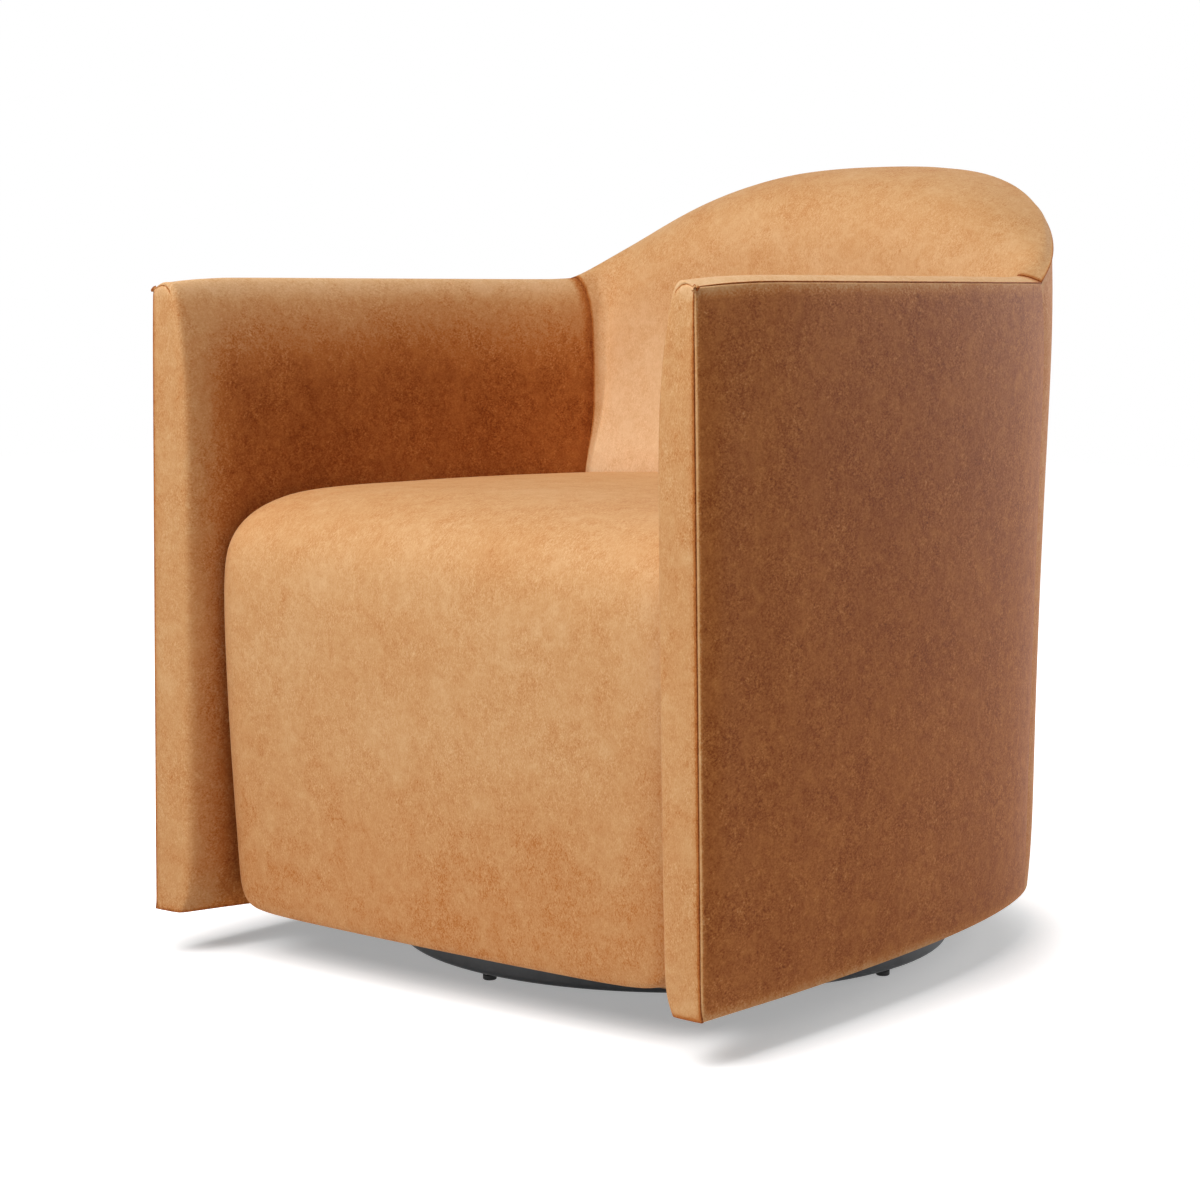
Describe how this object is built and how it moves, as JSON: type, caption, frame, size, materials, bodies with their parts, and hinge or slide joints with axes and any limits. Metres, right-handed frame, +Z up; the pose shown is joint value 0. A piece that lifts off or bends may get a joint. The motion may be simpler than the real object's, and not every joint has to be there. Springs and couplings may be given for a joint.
{
  "type": "swivel lounge chair",
  "caption": "Tub-shaped leather lounge chair with thin straight arms, a deep sprung seat and a reclined rolled back, turning freely on a low black ring base.",
  "frame": {"origin": "on the floor under the swivel axis, which is the middle of the chair in plan", "axes": "-Y out of the front of the seat, +X to the sitter's left, +Z up along the swivel axis"},
  "size_m": [0.681, 0.7801, 0.774],
  "materials": {
    "leather": "aniline-dyed cowhide with a soft wax sheen",
    "foam": "open-cell polyurethane foam",
    "felt": "needled felt",
    "webbing": "woven elastic webbing",
    "dust_cloth": "non-woven cloth",
    "fibreboard": "bent thin fibreboard",
    "plywood": "sawn birch plywood",
    "beech": "sawn beech",
    "spring_steel": "drawn wire and polished balls",
    "zinc_plated_steel": "zinc plated",
    "white_nylon": "moulded nylon",
    "powder_coated_steel": "satin black powder coat",
    "black_nylon": "moulded nylon"
  },
  "bodies": {
    "base": {"base_ring": "powder_coated_steel", "base_cross": "powder_coated_steel", "base_plate": "powder_coated_steel", "swivel_bottom_plate": "zinc_plated_steel", "base_bolts": "zinc_plated_steel", "base_nuts": "zinc_plated_steel", "pivot_bolt": "zinc_plated_steel", "pivot_nut": "zinc_plated_steel", "glide_nuts": "zinc_plated_steel"},
    "chair": {"seat_cover": "leather", "inside_back_cover": "leather", "outside_back_cover": "leather", "inside_arm_cover_left": "leather", "inside_arm_cover_right": "leather", "outside_arm_cover_left": "leather", "outside_arm_cover_right": "leather", "seat_foam": "foam", "back_foam": "foam", "arm_foam_left": "foam", "arm_foam_right": "foam", "spring_felt": "felt", "seat_springs": "spring_steel", "spring_clips": "zinc_plated_steel", "back_straps": "webbing", "dust_cover": "dust_cloth", "side_board_left": "fibreboard", "side_board_right": "fibreboard", "back_board": "fibreboard", "deck": "plywood", "seat_front_board": "plywood", "seat_rear_board": "plywood", "seat_side_boards": "plywood", "back_shelf": "plywood", "corner_blocks": "beech", "arm_rail_left": "plywood", "arm_rail_right": "plywood", "back_mid_rail": "plywood", "back_top_rail": "plywood", "front_posts": "plywood", "corner_posts": "plywood", "back_posts": "plywood", "deck_screws": "zinc_plated_steel", "swivel_top_plate": "zinc_plated_steel", "top_plate_bolts": "zinc_plated_steel", "tee_nuts": "zinc_plated_steel", "pivot_bush": "white_nylon"},
    "bearing": {"bearing_cage": "white_nylon", "bearing_balls": "spring_steel"},
    "glide_1": {"glide_stud_1": "zinc_plated_steel", "glide_pad_1": "black_nylon"},
    "glide_2": {"glide_stud_2": "zinc_plated_steel", "glide_pad_2": "black_nylon"},
    "glide_3": {"glide_stud_3": "zinc_plated_steel", "glide_pad_3": "black_nylon"},
    "glide_4": {"glide_stud_4": "zinc_plated_steel", "glide_pad_4": "black_nylon"}
  },
  "joints": [
    {"name": "chair_swivel", "type": "hinge", "parent": "base", "child": "chair", "pos_m": [0, 0, 0.0408], "axis": [0, 0, 1], "continuous": true},
    {"name": "bearing_turn", "type": "hinge", "parent": "base", "child": "bearing", "pos_m": [0, 0, 0.0408], "axis": [0, 0, 1], "continuous": true},
    {"name": "glide_1_screw", "type": "slide", "parent": "base", "child": "glide_1", "axis": [0, 0, -1], "range_m": [0, 0.01]},
    {"name": "glide_2_screw", "type": "slide", "parent": "base", "child": "glide_2", "axis": [0, 0, -1], "range_m": [0, 0.01]},
    {"name": "glide_3_screw", "type": "slide", "parent": "base", "child": "glide_3", "axis": [0, 0, -1], "range_m": [0, 0.01]},
    {"name": "glide_4_screw", "type": "slide", "parent": "base", "child": "glide_4", "axis": [0, 0, -1], "range_m": [0, 0.01]}
  ],
  "couplings": [
    {"joint": "bearing_turn", "follows": "chair_swivel", "ratio": 0.5}
  ]
}
